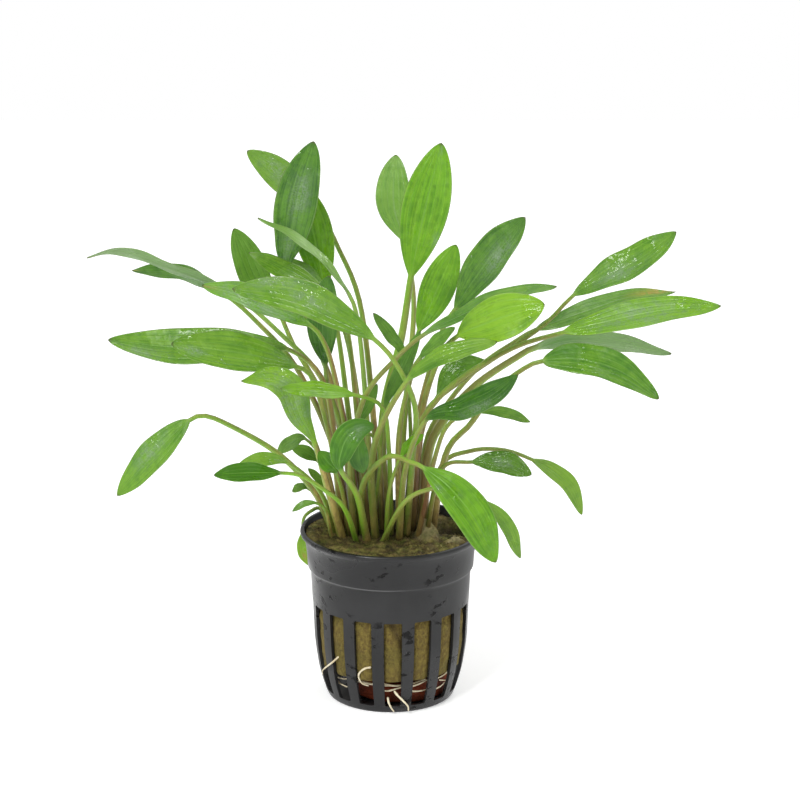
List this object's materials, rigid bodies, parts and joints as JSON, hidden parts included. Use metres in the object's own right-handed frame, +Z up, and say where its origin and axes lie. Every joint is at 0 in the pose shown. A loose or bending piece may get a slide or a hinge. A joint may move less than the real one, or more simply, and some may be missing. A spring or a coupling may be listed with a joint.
{
  "type": "potted cryptocoryne",
  "caption": "Young cryptocoryne aquarium plant with lance-shaped leaves on long stalks, rooted in a rock wool plug inside a slotted black net pot",
  "frame": {"origin": "centre of the pot's flat underside, which the plant stands on", "axes": "+Z up along the pot's axis; +X to the right of the picture's view, across the plant's widest spread; +Y away from the viewer"},
  "size_m": [0.1864, 0.0996, 0.1664],
  "materials": {
    "pot_plastic": "satin",
    "rock_wool": "matte",
    "fired_clay": "matte",
    "root": "satin",
    "leaf_dark": "satin",
    "leaf_middle": "satin",
    "leaf_bright": "satin",
    "leaf_grey": "satin"
  },
  "bodies": {
    "root": {"net_pot": "pot_plastic", "rock_wool": "rock_wool", "clay_ring": "fired_clay", "root_band": "root", "root_hanging_right": "root", "root_hanging_left": "root", "root_loop": "root", "root_left": "root", "leaf_left_1": "leaf_grey", "leaf_left_2": "leaf_dark", "leaf_left_3": "leaf_bright", "leaf_left_4": "leaf_middle", "leaf_left_5": "leaf_middle", "leaf_upper_left_1": "leaf_middle", "leaf_upper_left_2": "leaf_middle", "leaf_upper_left_3": "leaf_dark", "leaf_upper_left_4": "leaf_bright", "leaf_upper_left_5": "leaf_grey", "leaf_upper_left_6": "leaf_dark", "leaf_upper_left_7": "leaf_middle", "leaf_upper_left_8": "leaf_middle", "leaf_upper_left_9": "leaf_dark", "leaf_top_1": "leaf_grey", "leaf_top_2": "leaf_bright", "leaf_top_3": "leaf_bright", "leaf_top_4": "leaf_dark", "leaf_middle_right_1": "leaf_grey", "leaf_middle_right_2": "leaf_bright", "leaf_middle_right_3": "leaf_middle", "leaf_middle_right_4": "leaf_dark", "leaf_middle_right_5": "leaf_dark", "leaf_middle_right_6": "leaf_dark", "leaf_middle_right_7": "leaf_middle", "leaf_right_1": "leaf_middle", "leaf_right_2": "leaf_grey", "leaf_right_3": "leaf_bright", "leaf_right_4": "leaf_grey", "leaf_right_5": "leaf_middle", "leaf_heart_1": "leaf_bright", "leaf_heart_2": "leaf_bright", "leaf_heart_3": "leaf_dark", "leaf_heart_4": "leaf_dark", "leaf_heart_5": "leaf_bright", "leaf_heart_6": "leaf_dark", "leaf_heart_7": "leaf_dark", "leaf_heart_8": "leaf_bright", "leaf_heart_9": "leaf_bright", "leaf_low_left_1": "leaf_middle", "leaf_low_left_2": "leaf_middle", "leaf_low_left_3": "leaf_bright", "leaf_low_left_4": "leaf_grey", "leaf_low_left_5": "leaf_middle", "leaf_low_left_6": "leaf_dark", "leaf_low_left_7": "leaf_middle", "leaf_low_left_8": "leaf_grey", "leaf_low_left_9": "leaf_bright", "leaf_low_right_1": "leaf_bright", "leaf_low_right_2": "leaf_middle", "leaf_low_right_3": "leaf_dark", "leaf_low_right_4": "leaf_middle"}
  },
  "joints": []
}
